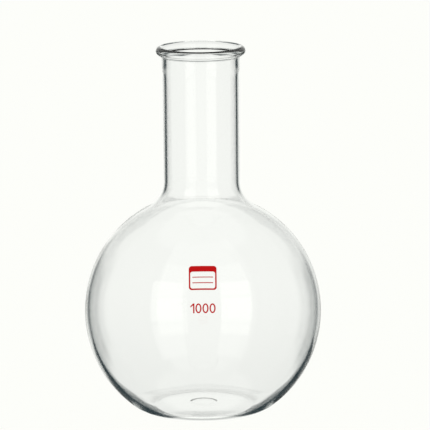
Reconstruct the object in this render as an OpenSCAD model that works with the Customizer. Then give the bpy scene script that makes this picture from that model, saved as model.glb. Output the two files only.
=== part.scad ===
// Flat-bottom boiling flask: a ball of blown glass with a straight neck,
// a beaded rim and a slightly raised floor, marked with fired-on enamel.
// Every glass surface is turned from one half section, so the wall is real
// from the bench to the rim and the flask is open where the real one is.

/* [Bulb] */
// Outside diameter of the ball
bulb_d = 131; // [118:1:150]
// Thickness of the ball's wall at its equator
bulb_wall = 2.1; // [1.6:0.1:3]
// How far the hollow's centre stands above the ball's, which makes the wall thicker low down
hollow_rise = 0.7; // [0:0.1:1.2]

/* [Foot] */
// Outside diameter of the flat ring that the flask stands on
foot_d = 57; // [46:1:66]
// Width of that ring, measured along a radius
stand_w = 1.8; // [1:0.2:4]
// Radius of the outside curve from the ring up into the ball
heel_r = 19; // [10:0.5:24]
// Radius of the inside curve from the floor up into the ball
inner_heel_r = 20; // [12:0.5:24]
// Thickness of the floor
floor_wall = 2; // [1.6:0.1:3]
// How far the middle of the floor is pushed up off the bench
pushup_h = 1.2; // [0.4:0.1:2.4]
// Diameter of the round mould mark under the floor
mark_d = 16; // [8:1:24]
// Depth of the mould mark
mark_depth = 0.2; // [0.1:0.05:0.5]

/* [Neck] */
// Outside diameter of the neck
neck_d = 42; // [34:1:50]
// Thickness of the neck's wall
neck_wall = 1.8; // [1.4:0.1:2.4]
// Radius of the hollow curve between the ball and the neck
shoulder_r = 16; // [10:1:26]
// Height of the flask from the bench to the top of its rim
height = 203.5; // [185:0.5:235]

/* [Rim] */
// How far the bead stands out from the neck
bead_out = 3.6; // [2.6:0.2:5]
// Thickness of the bead's round edge
bead_d = 5; // [4:0.2:6.4]
// Height over which the bore rounds out to the top of the bead
mouth_h = 6; // [3:0.5:9]
// How far the thickened collar under the bead stands out from the neck
collar_out = 0.5; // [0.2:0.05:0.9]
// Height of the straight part of the collar
collar_h = 4.5; // [2:0.5:8]
// Height over which the neck swells into the collar
swell_h = 6.5; // [3:0.5:12]
// Radius of the small hollow curve under the bead
bead_fillet_r = 1; // [0.5:0.1:1.8]

/* [Capacity numerals] */
// Number of noughts after the one
noughts = 3; // [1:1:4]
// Height of a numeral
digit_h = 5.3; // [4:0.1:7]
// Width of a nought
digit_w = 3.3; // [2.6:0.1:4.2]
// Width of the one, from its flag's tip to its stem
one_w = 2.2; // [1.8:0.1:3]
// Space between neighbouring numerals
digit_gap = 0.5; // [0.3:0.05:1.2]
// Width of a numeral's stroke
stroke_w = 0.75; // [0.5:0.05:0.95]
// Angle of the numerals' middle above the ball's equator
digit_lat = 13; // [6:0.5:16]

/* [Writing panel] */
// Width of the panel's frame
panel_w = 15; // [11:0.5:22]
// Height of the panel's frame, measured up the glass
panel_h = 13.4; // [10:0.2:15]
// Radius of the panel's corners
panel_r = 1.6; // [1:0.1:2.4]
// Width of the frame's line
frame_w = 0.8; // [0.4:0.05:1]
// Height of the solid band along the top of the panel
band_h = 3.2; // [2.6:0.1:4.4]
// Number of ruled lines to write on
rules = 2; // [1:1:4]
// Width of a ruled line
rule_w = 0.45; // [0.3:0.05:0.7]
// Space between a ruled line's ends and the frame
rule_gap = 1.1; // [0.5:0.1:2]
// Angle of the panel's middle above the ball's equator
panel_lat = 27.6; // [25:0.5:34]

/* [Enamel] */
// Thickness of the fired-on enamel
enamel_t = 0.15; // [0.1:0.01:0.3]
// Clearance between the enamel and the glass
enamel_gap = 0.02; // [0.01:0.01:0.05]

/* [Hidden] */
$fn = 180;

glass_colour = [0.80, 0.89, 0.89, 0.45];
enamel_colour = [0.66, 0.03, 0.06];

// How far a blending circle bites past its tangent points, so that arcs cross cleanly
bite = 0.003;
// How far a cutting shape runs past what it cuts
over = 5;

ball_r = bulb_d / 2;
cave_r = ball_r - bulb_wall;
neck_r = neck_d / 2;
bore_r = neck_r - neck_wall;
collar_r = neck_r + collar_out;

// Height of the ball's centre, set by the foot ring and the heel that blends it into the ball
ball_z = heel_r + sqrt(pow(ball_r - heel_r, 2) - pow(foot_d / 2, 2));
cave_z = ball_z + hollow_rise;

// The raised floor is a shallow cap of a large sphere that starts at the stand ring's inner edge
cap_edge_r = foot_d / 2 - stand_w;
cap_r = (pow(cap_edge_r, 2) + pow(pushup_h, 2)) / (2 * pushup_h);
cap_z = pushup_h - cap_r;

// Height of the panel's open field, between its bottom line and the band along its top
field_h = panel_h - band_h - frame_w;

bead_r = bead_d / 2;
bead_c = [neck_r + bead_out - bead_r, height - bead_r];
collar_z = height - 2 * bead_r - collar_h;
bead_fillet_c = [
    collar_r + bead_fillet_r,
    bead_c.y - side(bead_r + bead_fillet_r, collar_r + bead_fillet_r - bead_c.x)
];

// The other short side of a right triangle
function side(long, short) = sqrt(pow(long, 2) - pow(short, 2));

// Centre of a circle of radius r that touches a ball from outside and an upright line at x
function shoulder_centre(ball, z, x, r) = [x + r, z + side(ball + r, x + r)];

// Centre of a circle of radius r that touches a ball from inside and a floor at floor_z
function heel_centre(ball, z, floor_z, r) = [side(ball - r, z - floor_z - r), floor_z + r];

// Half section of a ball centred at height z and cut off flat at floor_z, with a heel of
// radius r between the two
module ball_section(ball, z, floor_z, r) {
    centre = heel_centre(ball, z, floor_z, r);
    away = (centre - [0, z]) / (ball - r);
    difference() {
        intersection() {
            translate([0, z]) circle(ball);
            translate([0, floor_z]) square([ball + over, z + ball]);
        }
        difference() {
            polygon([
                centre,
                centre + 2 * r * [0, -1],
                centre + 2 * r * [away.x, -1],
                centre + 2 * r * away
            ]);
            translate(centre) circle(r + bite);
        }
    }
}

// Half section of a neck of radius x, with a hollow shoulder of radius r down to that ball
module neck_section(ball, z, x, r, top_z) {
    centre = shoulder_centre(ball, z, x, r);
    translate([0, z]) square([x, top_z - z]);
    difference() {
        polygon([[0, z], centre, [0, centre.y]]);
        translate(centre) circle(r + bite);
    }
}

// Half section of the collar and the bead that finish the neck, with a fillet between them
module rim_section() {
    difference() {
        polygon([
            [0, collar_z - swell_h],
            [neck_r, collar_z - swell_h],
            [collar_r, collar_z],
            [collar_r, bead_fillet_c.y],
            bead_fillet_c,
            bead_c,
            [bead_c.x, height],
            [0, height]
        ]);
        translate(bead_fillet_c) circle(bead_fillet_r + bite);
    }
    translate(bead_c) circle(bead_r);
}

// Half section of the mouth, where the bore rounds out in a quarter of an ellipse
module mouth_section() {
    mouth_w = bead_c.x - bore_r;
    difference() {
        translate([0, height - mouth_h]) square([bead_c.x, mouth_h + over]);
        translate([bead_c.x, height - mouth_h])
            scale([mouth_w / mouth_h, 1]) circle(mouth_h + bite);
    }
}

// Half of the shallow cap that raises the floor, from the axis out to radius reach
module cap_section(r, reach) {
    intersection() {
        translate([0, cap_z]) circle(r);
        translate([0, -over]) square([reach, over + pushup_h + floor_wall + over]);
    }
}

module outside_section() {
    ball_section(ball_r, ball_z, 0, heel_r);
    neck_section(ball_r, ball_z, neck_r, shoulder_r, bead_c.y);
    rim_section();
}

module inside_section() {
    difference() {
        ball_section(cave_r, cave_z, floor_wall, inner_heel_r);
        cap_section(cap_r + floor_wall, ball_r);
    }
    neck_section(cave_r, cave_z, bore_r, shoulder_r + neck_wall, height + over);
    mouth_section();
}

module flask_body() {
    color(glass_colour) rotate_extrude() difference() {
        outside_section();
        inside_section();
        cap_section(cap_r, ball_r);
        cap_section(cap_r + mark_depth, mark_d / 2);
    }
}

// A skin of enamel on the front of the ball, cut to a flat drawing at an angle above the equator
module on_ball(latitude) {
    difference() {
        intersection() {
            translate([0, 0, ball_z]) rotate([90 - latitude, 0, 0])
                linear_extrude(ball_r + over) children();
            translate([0, 0, ball_z]) sphere(ball_r + enamel_gap + enamel_t);
        }
        translate([0, 0, ball_z]) sphere(ball_r + enamel_gap);
    }
}

module nought() {
    difference() {
        scale([digit_w / digit_h, 1]) circle(d = digit_h);
        scale([(digit_w - 2 * stroke_w) / (digit_h - 2 * stroke_w), 1])
            circle(d = digit_h - 2 * stroke_w);
    }
}

// The one has an upright stem against its right side and a short flag down from its top
module one() {
    flag_drop = one_w - stroke_w;
    translate([one_w / 2 - stroke_w, -digit_h / 2]) square([stroke_w, digit_h]);
    translate([one_w / 2, digit_h / 2]) polygon([
        [-stroke_w / 2, 0],
        [-stroke_w, 0],
        [-one_w, -flag_drop],
        [-one_w, -flag_drop - stroke_w],
        [-stroke_w / 2, -stroke_w]
    ]);
}

module capacity_numerals() {
    pitch = digit_w + digit_gap;
    row_w = one_w + noughts * pitch;
    color(enamel_colour) on_ball(digit_lat) {
        translate([(one_w - row_w) / 2, 0]) one();
        for (i = [1:noughts])
            translate([(digit_w - row_w) / 2 + one_w + digit_gap + (i - 1) * pitch, 0]) nought();
    }
}

// A rectangle about the origin with round corners
module rounded(w, h, r) {
    square([w, h - 2 * r], center = true);
    square([w - 2 * r, h], center = true);
    for (x = [-1, 1], y = [-1, 1])
        translate([x * (w / 2 - r), y * (h / 2 - r)]) circle(r);
}

module panel_frame() {
    difference() {
        rounded(panel_w, panel_h, panel_r);
        translate([0, (frame_w - band_h) / 2])
            rounded(panel_w - 2 * frame_w, field_h, panel_r - frame_w / 2);
    }
}

module panel_rules() {
    rule_l = panel_w - 2 * frame_w - 2 * rule_gap;
    for (i = [1:rules])
        translate([0, frame_w - panel_h / 2 + i * field_h / (rules + 1)])
            square([rule_l, rule_w], center = true);
}

module writing_panel() {
    color(enamel_colour) on_ball(panel_lat) {
        panel_frame();
        panel_rules();
    }
}

flask_body();
capacity_numerals();
writing_panel();
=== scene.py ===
"""Looks of a flat-bottom boiling flask: blown glass, fired-on red enamel and a glassware studio.

Everything is in metres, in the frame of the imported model: +Z up the flask's axis, the bench at
z = 0, and the enamel facing -Y.
"""

import math

import bmesh
import bpy
from mathutils import Matrix, Vector


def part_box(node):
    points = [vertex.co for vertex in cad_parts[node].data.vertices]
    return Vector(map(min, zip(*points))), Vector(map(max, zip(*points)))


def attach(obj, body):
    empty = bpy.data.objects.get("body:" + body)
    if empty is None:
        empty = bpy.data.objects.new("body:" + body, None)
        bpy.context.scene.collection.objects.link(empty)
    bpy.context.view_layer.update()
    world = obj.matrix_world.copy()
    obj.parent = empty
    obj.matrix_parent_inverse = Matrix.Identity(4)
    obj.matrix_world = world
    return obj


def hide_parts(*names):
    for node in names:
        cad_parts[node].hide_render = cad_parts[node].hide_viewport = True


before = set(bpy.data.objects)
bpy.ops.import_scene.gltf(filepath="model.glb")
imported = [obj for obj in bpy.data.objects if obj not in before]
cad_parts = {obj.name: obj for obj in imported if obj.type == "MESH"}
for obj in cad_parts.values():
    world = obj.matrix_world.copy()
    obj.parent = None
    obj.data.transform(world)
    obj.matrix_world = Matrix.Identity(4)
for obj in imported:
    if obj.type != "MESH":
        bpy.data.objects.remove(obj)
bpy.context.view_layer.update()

MM = 0.001

# ---------------------------------------------------------------- the flask's driving sizes
# These repeat the named values of the part's source.
_, flask_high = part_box("flask_body")
HEIGHT = flask_high.z
BALL_R = min(flask_high.x, flask_high.y)
BALL_WALL = 2.1 * MM
HOLLOW_RISE = 0.7 * MM
FOOT_R = 28.5 * MM
STAND_W = 1.8 * MM
HEEL_R = 19.0 * MM
INNER_HEEL_R = 20.0 * MM
FLOOR_WALL = 2.0 * MM
PUSHUP_H = 1.2 * MM
MARK_R = 8.0 * MM
MARK_DEPTH = 0.2 * MM
NECK_R = 21.0 * MM
NECK_WALL = 1.8 * MM
SHOULDER_R = 16.0 * MM
BEAD_OUT = 3.6 * MM
BEAD_R = 2.5 * MM
MOUTH_H = 6.0 * MM
COLLAR_OUT = 0.5 * MM
COLLAR_H = 4.5 * MM
SWELL_H = 6.5 * MM
BEAD_FILLET_R = 1.0 * MM

# The mould mark's edge is eased over this width, which the solid leaves sharp
MARK_SLOPE = 1.6 * MM

BORE_R = NECK_R - NECK_WALL
CAVE_R = BALL_R - BALL_WALL
BALL_Z = HEEL_R + math.sqrt((BALL_R - HEEL_R) ** 2 - FOOT_R ** 2)
BALL_CENTRE = Vector((0, 0, BALL_Z))
CAP_EDGE_R = FOOT_R - STAND_W
BEAD_C = (NECK_R + BEAD_OUT - BEAD_R, HEIGHT - BEAD_R)
COLLAR_R = NECK_R + COLLAR_OUT
COLLAR_Z = HEIGHT - 2 * BEAD_R - COLLAR_H

# ---------------------------------------------------------------- how finely the glass is turned
TURN_STEPS = 192
BALL_STEP = math.radians(1.8)
CURVE_STEP = math.radians(3)
BEAD_STEP = math.radians(5)
NECK_STEPS = 24
UNDER_STEPS = 60
STAND_STEPS = 6
SWELL_STEPS = 12
COLLAR_STEPS = 4
MOUTH_STEPS = 24
FLOOR_STEPS = 30
ON_AXIS = 1e-9

# ---------------------------------------------------------------- the photograph's framing
IMAGE_PX = 430
SENSOR_MM = 36.0
CAMERA_DISTANCE = 2.2
CAMERA_ELEVATION = math.radians(12.3)
CAMERA_ROLL = math.radians(0.5)
CAMERA_REACH = 100
BALL_RADIUS_PX = 118.0
AIM_RIGHT = 7.15 * MM
AIM_UP = 52.6 * MM

# ---------------------------------------------------------------- glass and enamel
GLASS_IOR = 1.47
GLASS_TINT = (0.66, 0.74, 0.72)
GLASS_TINT_DENSITY = 8.0
WAVE_SCALE = 45
WAVE_DETAIL = 1.0
WAVE_STRETCH = (1.0, 1.0, 0.35)
WAVE_DEPTH = 0.08 * MM

ENAMEL_DARK = (0.45, 0.0005, 0.001)
ENAMEL_LIGHT = (0.57, 0.001, 0.002)
ENAMEL_GRAIN_SCALE = 2500
ENAMEL_ROUGHNESS = 0.5
ENAMEL_SPECULAR = 0.1

# ---------------------------------------------------------------- studio
FLOOR_WHITE = (0.99, 0.99, 0.99)
FLOOR_GAP = 0.2 * MM
FLOOR_HALF = 40.0
AIR_WHITE = (0.983, 0.990, 0.953)
AIR_STRENGTH = 1.01
TENT_R = 2.0
TENT_SEGMENTS = 96
TENT_RINGS = 48
LAMP_WHITE = (1.0, 1.0, 0.955)
ROOM_LIGHT = 0.75
GLOOM_COLOUR = (0.3, 0.8, 1.0)
GLOOM = 0.03
GLASS_BOUNCES = 40
GLOSS_BOUNCES = 16

# Screens round the flask, the later ones in front: name, left, right, low and high edges, the
# width of the soft edge, and strength. Azimuth 0 is straight behind the flask and 180 is the
# camera, elevations are above the camera's line of sight, all in degrees.
SCREENS = (
    ("bench", -180.0, 180.0, -100.0, -58.0, 8.0, 1.10),
    ("camera_side", 127.4, 225.6, -70.7, 66.2, 4.6, 0.98),
    ("ceiling", -21.0, 21.7, 34.0, 75.0, 6.0, 0.10),
    ("flag_left", -56.2, -24.0, -22.0, 15.3, 10.0, 0.04),
    ("flag_right", 27.2, 53.6, -22.7, 14.9, 10.0, 0.02),
    ("flag_left_low", -32.0, -7.0, -38.0, -8.0, 2.0, 0.02),
    ("flag_right_low", 8.0, 32.0, -38.0, -8.0, 2.0, 0.02),
    ("backdrop", -17.5, 16.0, -10.5, 34.0, 2.0, 0.86),
    ("backdrop_high", -15.0, 13.5, -2.0, 31.0, 6.0, 0.93),
    ("foot_strip", -7.0, 8.0, -28.0, -9.0, 2.0, 0.85),
    ("bench_edge", -9.0, 10.0, -59.0, -28.0, 1.5, 0.50),
    ("bench_top", -9.0, 10.0, -51.0, -36.0, 1.5, 1.00),
    ("window_left", 199.5, 232.0, -11.0, 25.0, 1.5, 1.60),
    ("window_right", 131.0, 163.0, -11.0, 25.0, 1.5, 1.60),
    ("window_left_low", 199.5, 232.0, -45.0, -13.0, 1.5, 1.35),
    ("window_right_low", 131.0, 163.0, -45.0, -13.0, 1.5, 1.35),
)


def place_camera():
    """The camera looks along +Y and a little down, and is rolled slightly as the photo is."""
    data = bpy.data.cameras.new("camera")
    camera = bpy.data.objects.new("camera", data)
    bpy.context.scene.collection.objects.link(camera)
    across = Vector((1, 0, 0))
    back = Vector((0, -math.cos(CAMERA_ELEVATION), math.sin(CAMERA_ELEVATION)))
    above = back.cross(across)
    place = BALL_CENTRE + back * CAMERA_DISTANCE
    aim = BALL_CENTRE + across * AIM_RIGHT + above * AIM_UP
    away = (place - aim).normalized()
    level = Vector((0, 0, 1)).cross(away).normalized()
    upright = away.cross(level)
    up = upright * math.cos(CAMERA_ROLL) + level * math.sin(CAMERA_ROLL)
    right = up.cross(away)
    camera.matrix_world = Matrix((
        (right.x, up.x, away.x, place.x),
        (right.y, up.y, away.y, place.y),
        (right.z, up.z, away.z, place.z),
        (0, 0, 0, 1),
    ))
    tangent = math.sqrt(CAMERA_DISTANCE ** 2 - BALL_R ** 2)
    data.lens = BALL_RADIUS_PX * tangent / BALL_R * SENSOR_MM / IMAGE_PX
    data.sensor_width = SENSOR_MM
    data.clip_end = CAMERA_REACH
    bpy.context.scene.camera = camera
    return camera


# ---------------------------------------------------------------- the glass
def arc(centre, radius, start, end, step):
    """Points of a circular arc in the half section, from one angle to another."""
    steps = max(2, math.ceil(abs(end - start) / step))
    return [
        (
            centre[0] + radius * math.cos(start + (end - start) * i / steps),
            centre[1] + radius * math.sin(start + (end - start) * i / steps),
        )
        for i in range(steps + 1)
    ]


def line(start, end, steps):
    """Evenly spaced points of a straight stretch, without its last point."""
    return [
        (start[0] + (end[0] - start[0]) * i / steps, start[1] + (end[1] - start[1]) * i / steps)
        for i in range(steps)
    ]


def angle_to(centre, point):
    return math.atan2(point[1] - centre[1], point[0] - centre[0])


def side(long, short):
    """The other short side of a right triangle."""
    return math.sqrt(long ** 2 - short ** 2)


def smooth(t):
    """A rise from nought to one with no corner at either end."""
    t = min(1.0, max(0.0, t))
    return t * t * (3 - 2 * t)


def wall_arcs(ball, ball_z, floor_z, heel, neck, shoulder, top_z):
    """Heel, ball, shoulder and neck from the floor's edge up, for the outside or the inside."""
    heel_c = (side(ball - heel, ball_z - floor_z - heel), floor_z + heel)
    shoulder_c = (neck + shoulder, ball_z + side(ball + shoulder, neck + shoulder))
    ball_c = (0.0, ball_z)
    low = angle_to(ball_c, heel_c)
    high = angle_to(ball_c, shoulder_c)
    points = arc(heel_c, heel, -math.pi / 2, low, CURVE_STEP)
    points += arc(ball_c, ball, low, high, BALL_STEP)[1:]
    points += arc(shoulder_c, shoulder, high - math.pi, -math.pi, CURVE_STEP)[1:]
    return points + line(points[-1], (neck, top_z), NECK_STEPS)[1:]


def cap_height(r, peak):
    """Height at radius r of the raised floor's shallow spherical cap that peaks at a height."""
    big = (CAP_EDGE_R ** 2 + PUSHUP_H ** 2) / (2 * PUSHUP_H)
    big += peak - PUSHUP_H
    return peak - big + side(big, r)


def under_points():
    """The underside, outwards from the axis: the mould mark, the raised floor, the stand ring."""
    points = []
    for i in range(UNDER_STEPS + 1):
        r = CAP_EDGE_R * i / UNDER_STEPS
        mark = 1 - smooth((r - MARK_R + MARK_SLOPE) / MARK_SLOPE)
        points.append((r, cap_height(r, PUSHUP_H) + MARK_DEPTH * mark))
    return points + line((CAP_EDGE_R, 0.0), (FOOT_R, 0.0), STAND_STEPS)[1:]


def rim_points():
    """The collar, the fillet under the bead and the bead, from the neck to the rim's top."""
    fillet_x = COLLAR_R + BEAD_FILLET_R
    fillet_c = (fillet_x, BEAD_C[1] - side(BEAD_R + BEAD_FILLET_R, fillet_x - BEAD_C[0]))
    touch = angle_to(fillet_c, BEAD_C)
    points = [
        (
            NECK_R + COLLAR_OUT * smooth(i / SWELL_STEPS),
            COLLAR_Z - SWELL_H + SWELL_H * i / SWELL_STEPS,
        )
        for i in range(SWELL_STEPS)
    ]
    points += line((COLLAR_R, COLLAR_Z), (COLLAR_R, fillet_c[1]), COLLAR_STEPS)
    points += arc(fillet_c, BEAD_FILLET_R, math.pi, touch, BEAD_STEP)
    return points + arc(BEAD_C, BEAD_R, touch - math.pi, math.pi / 2, BEAD_STEP)[1:]


def inside_points():
    """The inside, from the rounding of the mouth down to the middle of the floor."""
    mouth_z = HEIGHT - MOUTH_H
    mouth = [
        (
            BEAD_C[0] - (BEAD_C[0] - BORE_R) * math.sin(math.pi / 2 * i / MOUTH_STEPS),
            mouth_z + MOUTH_H * math.cos(math.pi / 2 * i / MOUTH_STEPS),
        )
        for i in range(1, MOUTH_STEPS + 1)
    ]
    walls = wall_arcs(
        CAVE_R, BALL_Z + HOLLOW_RISE, FLOOR_WALL, INNER_HEEL_R,
        BORE_R, SHOULDER_R + NECK_WALL, mouth_z,
    )
    floor_peak = PUSHUP_H + FLOOR_WALL
    down = [p for p in reversed(walls) if p[1] > cap_height(p[0], floor_peak)]
    edge = down[-1][0]
    inwards = [edge * (1 - i / FLOOR_STEPS) for i in range(1, FLOOR_STEPS + 1)]
    return mouth + down + [(r, cap_height(r, floor_peak)) for r in inwards]


def turned(name, points):
    """A solid of revolution about Z from a half section that starts and ends on the axis."""
    mesh = bpy.data.meshes.new(name)
    bm = bmesh.new()
    angles = [2 * math.pi * i / TURN_STEPS for i in range(TURN_STEPS)]
    rings = []
    for r, z in points:
        if r < ON_AXIS:
            rings.append([bm.verts.new((0, 0, z))])
        else:
            rings.append([bm.verts.new((r * math.cos(a), r * math.sin(a), z)) for a in angles])
    for lower, upper in zip(rings, rings[1:]):
        for i in range(TURN_STEPS):
            j = (i + 1) % TURN_STEPS
            corners = (
                lower[i % len(lower)], lower[j % len(lower)],
                upper[j % len(upper)], upper[i % len(upper)],
            )
            # A ring on the axis is one point, so its two corners are the same and one is dropped
            bm.faces.new(list(dict.fromkeys(corners)))
    bmesh.ops.recalc_face_normals(bm, faces=bm.faces)
    for face in bm.faces:
        face.smooth = True
    bm.to_mesh(mesh)
    bm.free()
    piece = bpy.data.objects.new(name, mesh)
    bpy.context.scene.collection.objects.link(piece)
    return piece


def blow_glass():
    """The whole flask as one turned wall, in place of its faceted CAD solid."""
    outside = wall_arcs(BALL_R, BALL_Z, 0.0, HEEL_R, NECK_R, SHOULDER_R, COLLAR_Z - SWELL_H)
    points = under_points() + outside + rim_points() + inside_points()
    piece = turned("blown_glass", points)
    piece.data.materials.append(glass_material())
    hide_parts("flask_body")
    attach(piece, "root")
    piece.visible_shadow = False
    piece.visible_diffuse = False


def fire_enamel():
    """The printed CAD nodes stay as they are and get the enamel's material."""
    enamel = enamel_material()
    for node in ("capacity_numerals", "writing_panel"):
        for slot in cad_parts[node].material_slots:
            slot.material = enamel


# ---------------------------------------------------------------- materials
def new_material(name, shader_type):
    """A material with one shader on its surface: its nodes, links, shader and output."""
    material = bpy.data.materials.new(name)
    material.use_nodes = True
    nodes, links = material.node_tree.nodes, material.node_tree.links
    nodes.clear()
    out = nodes.new("ShaderNodeOutputMaterial")
    shader = nodes.new(shader_type)
    links.new(shader.outputs[0], out.inputs["Surface"])
    return material, nodes, links, shader, out


def set_inputs(node, values):
    for name, value in values.items():
        node.inputs[name].default_value = value


def glass_material():
    """Clear glass with a faint tint through its thickness and slow waves, drawn out upwards."""
    material, nodes, links, shader, out = new_material(
        "borosilicate_glass", "ShaderNodeBsdfPrincipled"
    )
    set_inputs(shader, {
        "Base Color": (1, 1, 1, 1),
        "Roughness": 0.0,
        "IOR": GLASS_IOR,
        "Transmission Weight": 1.0,
    })
    place = nodes.new("ShaderNodeTexCoord")
    stretch = nodes.new("ShaderNodeMapping")
    set_inputs(stretch, {"Scale": WAVE_STRETCH})
    waves = nodes.new("ShaderNodeTexNoise")
    set_inputs(waves, {"Scale": WAVE_SCALE, "Detail": WAVE_DETAIL})
    bump = nodes.new("ShaderNodeBump")
    set_inputs(bump, {"Strength": 1.0, "Distance": WAVE_DEPTH})
    links.new(place.outputs["Object"], stretch.inputs["Vector"])
    links.new(stretch.outputs["Vector"], waves.inputs["Vector"])
    links.new(waves.outputs["Fac"], bump.inputs["Height"])
    links.new(bump.outputs["Normal"], shader.inputs["Normal"])
    tint = nodes.new("ShaderNodeVolumeAbsorption")
    set_inputs(tint, {"Color": (*GLASS_TINT, 1), "Density": GLASS_TINT_DENSITY})
    links.new(tint.outputs["Volume"], out.inputs["Volume"])
    return material


def enamel_material():
    """Fired red enamel with a fine grain in its colour."""
    material, nodes, links, shader, _ = new_material(
        "fired_red_enamel", "ShaderNodeBsdfPrincipled"
    )
    set_inputs(shader, {"Roughness": ENAMEL_ROUGHNESS, "Specular IOR Level": ENAMEL_SPECULAR})
    place = nodes.new("ShaderNodeTexCoord")
    grain = nodes.new("ShaderNodeTexNoise")
    set_inputs(grain, {"Scale": ENAMEL_GRAIN_SCALE})
    ramp = nodes.new("ShaderNodeValToRGB")
    ramp.color_ramp.elements[0].color = (*ENAMEL_DARK, 1)
    ramp.color_ramp.elements[1].color = (*ENAMEL_LIGHT, 1)
    links.new(place.outputs["Object"], grain.inputs["Vector"])
    links.new(grain.outputs["Fac"], ramp.inputs["Fac"])
    links.new(ramp.outputs["Color"], shader.inputs["Base Color"])
    return material


def floor_material():
    material, _, _, shader, _ = new_material("pale_floor", "ShaderNodeBsdfDiffuse")
    set_inputs(shader, {"Color": (*FLOOR_WHITE, 1)})
    return material


def surround_material():
    """White light of uneven strength: soft-edged screens laid over each other in a plain room."""
    material, nodes, links, both, _ = new_material("studio_surround", "ShaderNodeAddShader")

    def feed(socket, value):
        """Wires another node's output to a socket, or sets a plain number on it."""
        if isinstance(value, (int, float)):
            socket.default_value = value
        else:
            links.new(value, socket)

    def maths(operation, *values):
        node = nodes.new("ShaderNodeMath")
        node.operation = operation
        for socket, value in zip(node.inputs, values):
            feed(socket, value)
        return node.outputs["Value"]

    def within(angle, low, high, fade):
        """One between two angles and nought elsewhere, with a smooth fade across each edge."""
        off_middle = maths("WRAP", maths("SUBTRACT", angle, (low + high) / 2), 180, -180)
        half = (high - low) / 2
        edge = nodes.new("ShaderNodeMapRange")
        edge.interpolation_type = "SMOOTHSTEP"
        feed(edge.inputs["Value"], maths("ABSOLUTE", off_middle))
        feed(edge.inputs["From Min"], half - fade / 2)
        feed(edge.inputs["From Max"], half + fade / 2)
        feed(edge.inputs["To Min"], 1.0)
        feed(edge.inputs["To Max"], 0.0)
        return edge.outputs["Result"]

    place = nodes.new("ShaderNodeTexCoord")
    direction = nodes.new("ShaderNodeVectorMath")
    direction.operation = "NORMALIZE"
    links.new(place.outputs["Object"], direction.inputs[0])
    parts = nodes.new("ShaderNodeSeparateXYZ")
    links.new(direction.outputs["Vector"], parts.inputs["Vector"])
    azimuth = maths("DEGREES", maths("ARCTAN2", parts.outputs["X"], parts.outputs["Y"]))
    elevation = maths("DEGREES", maths("ARCSINE", parts.outputs["Z"]))

    light = ROOM_LIGHT
    for name, left, right, low, high, fade, strength in SCREENS:
        across, upwards = within(azimuth, left, right, fade), within(elevation, low, high, fade)
        screen = nodes.new("ShaderNodeMix")
        screen.data_type = "FLOAT"
        screen.label = name
        feed(screen.inputs["Factor"], maths("MULTIPLY", across, upwards))
        feed(screen.inputs["A"], light)
        feed(screen.inputs["B"], strength)
        light = screen.outputs["Result"]

    lamp = nodes.new("ShaderNodeEmission")
    set_inputs(lamp, {"Color": (*LAMP_WHITE, 1)})
    feed(lamp.inputs["Strength"], light)
    gloom = nodes.new("ShaderNodeEmission")
    set_inputs(gloom, {"Color": (*GLOOM_COLOUR, 1), "Strength": GLOOM})
    links.new(lamp.outputs["Emission"], both.inputs[0])
    links.new(gloom.outputs["Emission"], both.inputs[1])
    material.cycles.emission_sampling = "NONE"
    return material


# ---------------------------------------------------------------- the studio
def lay_floor():
    """The pale floor that the camera sees. The glass sees the tent in its place."""
    bpy.ops.mesh.primitive_plane_add(size=2 * FLOOR_HALF, location=(0, 0, -FLOOR_GAP))
    floor = bpy.context.object
    floor.name = "floor"
    floor.data.materials.append(floor_material())
    floor.visible_transmission = False
    floor.visible_glossy = False


def light_world():
    world = bpy.data.worlds.new("studio_air")
    world.use_nodes = True
    background = world.node_tree.nodes["Background"]
    set_inputs(background, {"Color": (*AIR_WHITE, 1), "Strength": AIR_STRENGTH})
    bpy.context.scene.world = world


def make_rig(camera):
    """The arm that carries the tent and turns it round the flask with the camera."""
    rig = bpy.data.objects.new("lamp_arm", None)
    bpy.context.scene.collection.objects.link(rig)
    rig.location = BALL_CENTRE
    track = rig.constraints.new("TRACK_TO")
    track.target = camera
    track.track_axis = "TRACK_NEGATIVE_Y"
    track.up_axis = "UP_Z"
    return rig


def light_studio(camera):
    """A tent round the flask that is seen only in the glass."""
    bpy.ops.mesh.primitive_uv_sphere_add(
        segments=TENT_SEGMENTS, ring_count=TENT_RINGS, radius=TENT_R
    )
    tent = bpy.context.object
    tent.name = "light_tent"
    tent.parent = make_rig(camera)
    tent.data.materials.append(surround_material())
    tent.visible_camera = False
    tent.visible_diffuse = False
    tent.visible_shadow = False


def set_light_paths():
    """Thick glass needs many bounces, and the picture is shown without a film curve."""
    scene = bpy.context.scene
    scene.cycles.max_bounces = GLASS_BOUNCES
    scene.cycles.transmission_bounces = GLASS_BOUNCES
    scene.cycles.glossy_bounces = GLOSS_BOUNCES
    scene.view_settings.view_transform = "Standard"


camera = place_camera()
blow_glass()
fire_enamel()
lay_floor()
light_world()
light_studio(camera)
set_light_paths()
